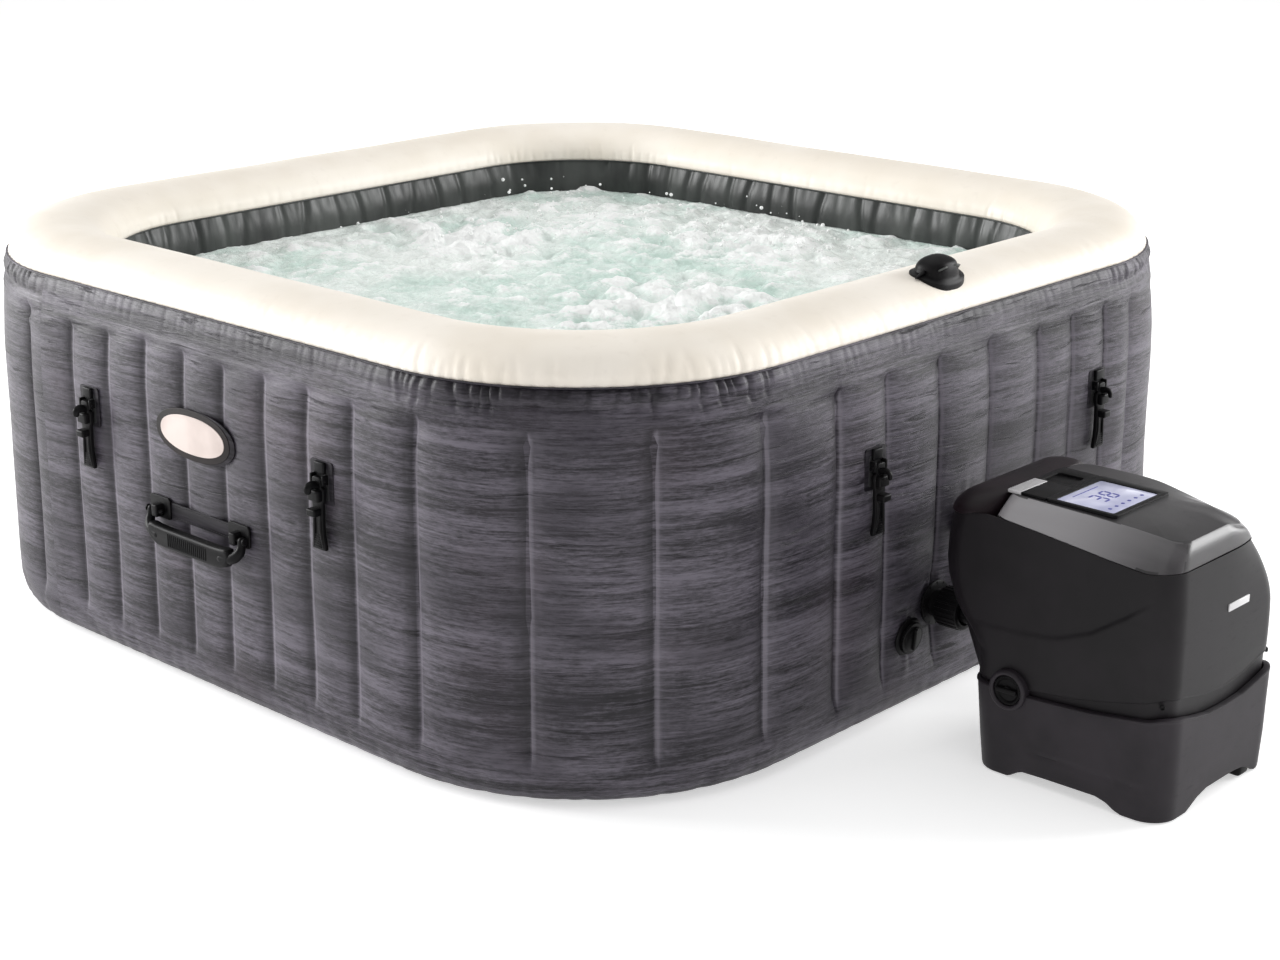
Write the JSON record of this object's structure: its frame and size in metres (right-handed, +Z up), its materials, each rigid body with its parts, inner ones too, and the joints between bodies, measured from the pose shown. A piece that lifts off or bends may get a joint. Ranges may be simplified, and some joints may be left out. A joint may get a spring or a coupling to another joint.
{
  "type": "inflatable hot tub",
  "caption": "Square inflatable hot tub with a cream rim, quilted outer wall, cover buckles and carry handles, joined by hose unions to a floor-standing pump, heater and blower unit.",
  "frame": {"origin": "centre of the tub's underside, on the ground", "axes": "+Z up, +X from the tub towards the control unit, -Y towards the face with the badge"},
  "size_m": [2.294, 1.7936, 0.733],
  "materials": {
    "wall_print": "matt printed vinyl with a grain",
    "cream_vinyl": "smooth vinyl",
    "liner_vinyl": "smooth vinyl",
    "fibre_sheet": "coated fibre",
    "badge_plate": "blank printed plate",
    "black_plastic": "moulded",
    "webbing": "woven",
    "unit_plastic": "satin moulded",
    "cover_plastic": "satin moulded",
    "display_glass": "clear cover over a lit display",
    "white_plastic": "moulded",
    "filter_paper": "pleated",
    "motor_metal": "cast and painted"
  },
  "bodies": {
    "spa": {"air_fitting": "black_plastic", "badge": "badge_plate", "base_sheet": "liner_vinyl", "blower_housing": "black_plastic", "bubble_ring": "white_plastic", "buckle_patch_back_a": "webbing", "buckle_patch_back_b": "webbing", "buckle_patch_front_a": "webbing", "buckle_patch_front_b": "webbing", "buckle_patch_left_a": "webbing", "buckle_patch_left_b": "webbing", "buckle_patch_unit_a": "webbing", "buckle_patch_unit_b": "webbing", "cable_gland": "black_plastic", "display_bezel": "black_plastic", "display_glass": "display_glass", "drain_body": "black_plastic", "filter_cartridge": "filter_paper", "filter_housing": "white_plastic", "handle_anchor_back": "black_plastic", "handle_anchor_front": "black_plastic", "heater": "motor_metal", "inflation_valve": "black_plastic", "inner_floor": "liner_vinyl", "inner_wall": "liner_vinyl", "outer_wall": "wall_print", "pump_hose": "black_plastic", "pump_motor": "motor_metal", "pump_volute": "black_plastic", "return_fitting": "black_plastic", "return_nozzle": "white_plastic", "rim_cowl": "black_plastic", "service_port": "unit_plastic", "suction_fitting": "black_plastic", "top_rim": "cream_vinyl", "unit_base": "unit_plastic", "unit_cover": "cover_plastic", "unit_hood": "unit_plastic", "unit_plate": "cover_plastic", "unit_shell": "unit_plastic", "wall_web": "fibre_sheet"},
    "drain_cap": {"drain_cap": "black_plastic"},
    "inflation_cap": {"inflation_cap": "black_plastic"},
    "suction_union": {"suction_union": "black_plastic"},
    "return_union": {"return_union": "black_plastic"},
    "air_union": {"air_union": "black_plastic"},
    "filter_cap": {"filter_cap": "white_plastic"},
    "handle_front": {"handle_grip_front": "black_plastic"},
    "handle_back": {"handle_grip_back": "black_plastic"},
    "impeller": {"impeller": "white_plastic"},
    "blower_fan": {"blower_fan": "white_plastic"},
    "service_cap": {"service_cap": "black_plastic"},
    "clip_front_a": {"buckle_clip_front_a": "black_plastic"},
    "clip_front_b": {"buckle_clip_front_b": "black_plastic"},
    "clip_unit_a": {"buckle_clip_unit_a": "black_plastic"},
    "clip_unit_b": {"buckle_clip_unit_b": "black_plastic"},
    "clip_back_a": {"buckle_clip_back_a": "black_plastic"},
    "clip_back_b": {"buckle_clip_back_b": "black_plastic"},
    "clip_left_a": {"buckle_clip_left_a": "black_plastic"},
    "clip_left_b": {"buckle_clip_left_b": "black_plastic"}
  },
  "joints": [
    {"name": "suction_union_turn", "type": "hinge", "parent": "spa", "child": "suction_union", "pos_m": [0.918, -0.075, 0.175], "axis": [1, 0, 0], "range_deg": [0, 360]},
    {"name": "return_union_turn", "type": "hinge", "parent": "spa", "child": "return_union", "pos_m": [0.918, 0.045, 0.175], "axis": [1, 0, 0], "range_deg": [0, 360]},
    {"name": "air_union_turn", "type": "hinge", "parent": "spa", "child": "air_union", "pos_m": [0.918, 0.005, 0.3], "axis": [1, 0, 0], "range_deg": [0, 360]},
    {"name": "drain_cap_turn", "type": "hinge", "parent": "spa", "child": "drain_cap", "pos_m": [0.8757, -0.146, 0.135], "axis": [0.995, 0, -0.0998], "range_deg": [0, 270]},
    {"name": "inflation_cap_turn", "type": "hinge", "parent": "spa", "child": "inflation_cap", "pos_m": [0.8757, 0.15, 0.24], "axis": [1, 0, 0], "range_deg": [0, 270]},
    {"name": "filter_cap_turn", "type": "hinge", "parent": "spa", "child": "filter_cap", "pos_m": [0.56, -0.075, 0.175], "axis": [-1, 0, 0], "range_deg": [0, 90]},
    {"name": "service_cap_turn", "type": "hinge", "parent": "spa", "child": "service_cap", "pos_m": [1.131, -0.238, 0.144], "axis": [0, -1, 0], "range_deg": [0, 270]},
    {"name": "handle_front_swing", "type": "hinge", "parent": "spa", "child": "handle_front", "pos_m": [0, -0.888, 0.306], "axis": [-1, 0, 0], "range_deg": [0, 110]},
    {"name": "handle_back_swing", "type": "hinge", "parent": "spa", "child": "handle_back", "pos_m": [0, 0.888, 0.306], "axis": [1, 0, 0], "range_deg": [0, 110]},
    {"name": "impeller_spin", "type": "hinge", "parent": "spa", "child": "impeller", "pos_m": [1.09, -0.075, 0.175], "axis": [1, 0, 0], "continuous": true},
    {"name": "blower_fan_spin", "type": "hinge", "parent": "spa", "child": "blower_fan", "pos_m": [1.118, 0.005, 0.3], "axis": [1, 0, 0], "continuous": true},
    {"name": "clip_front_a_swing", "type": "hinge", "parent": "spa", "child": "clip_front_a", "pos_m": [-0.305, -0.8845, 0.452], "axis": [-1, 0, 0], "range_deg": [0, 100]},
    {"name": "clip_front_b_swing", "type": "hinge", "parent": "spa", "child": "clip_front_b", "pos_m": [0.305, -0.8845, 0.452], "axis": [-1, 0, 0], "range_deg": [0, 100]},
    {"name": "clip_unit_a_swing", "type": "hinge", "parent": "spa", "child": "clip_unit_a", "pos_m": [0.8845, -0.25, 0.452], "axis": [0, -1, 0], "range_deg": [0, 100]},
    {"name": "clip_unit_b_swing", "type": "hinge", "parent": "spa", "child": "clip_unit_b", "pos_m": [0.8845, 0.38, 0.452], "axis": [0, -1, 0], "range_deg": [0, 100]},
    {"name": "clip_back_a_swing", "type": "hinge", "parent": "spa", "child": "clip_back_a", "pos_m": [0.305, 0.8845, 0.452], "axis": [1, 0, 0], "range_deg": [0, 100]},
    {"name": "clip_back_b_swing", "type": "hinge", "parent": "spa", "child": "clip_back_b", "pos_m": [-0.305, 0.8845, 0.452], "axis": [1, 0, 0], "range_deg": [0, 100]},
    {"name": "clip_left_a_swing", "type": "hinge", "parent": "spa", "child": "clip_left_a", "pos_m": [-0.8845, 0.305, 0.452], "axis": [0, 1, 0], "range_deg": [0, 100]},
    {"name": "clip_left_b_swing", "type": "hinge", "parent": "spa", "child": "clip_left_b", "pos_m": [-0.8845, -0.305, 0.452], "axis": [0, 1, 0], "range_deg": [0, 100]}
  ]
}
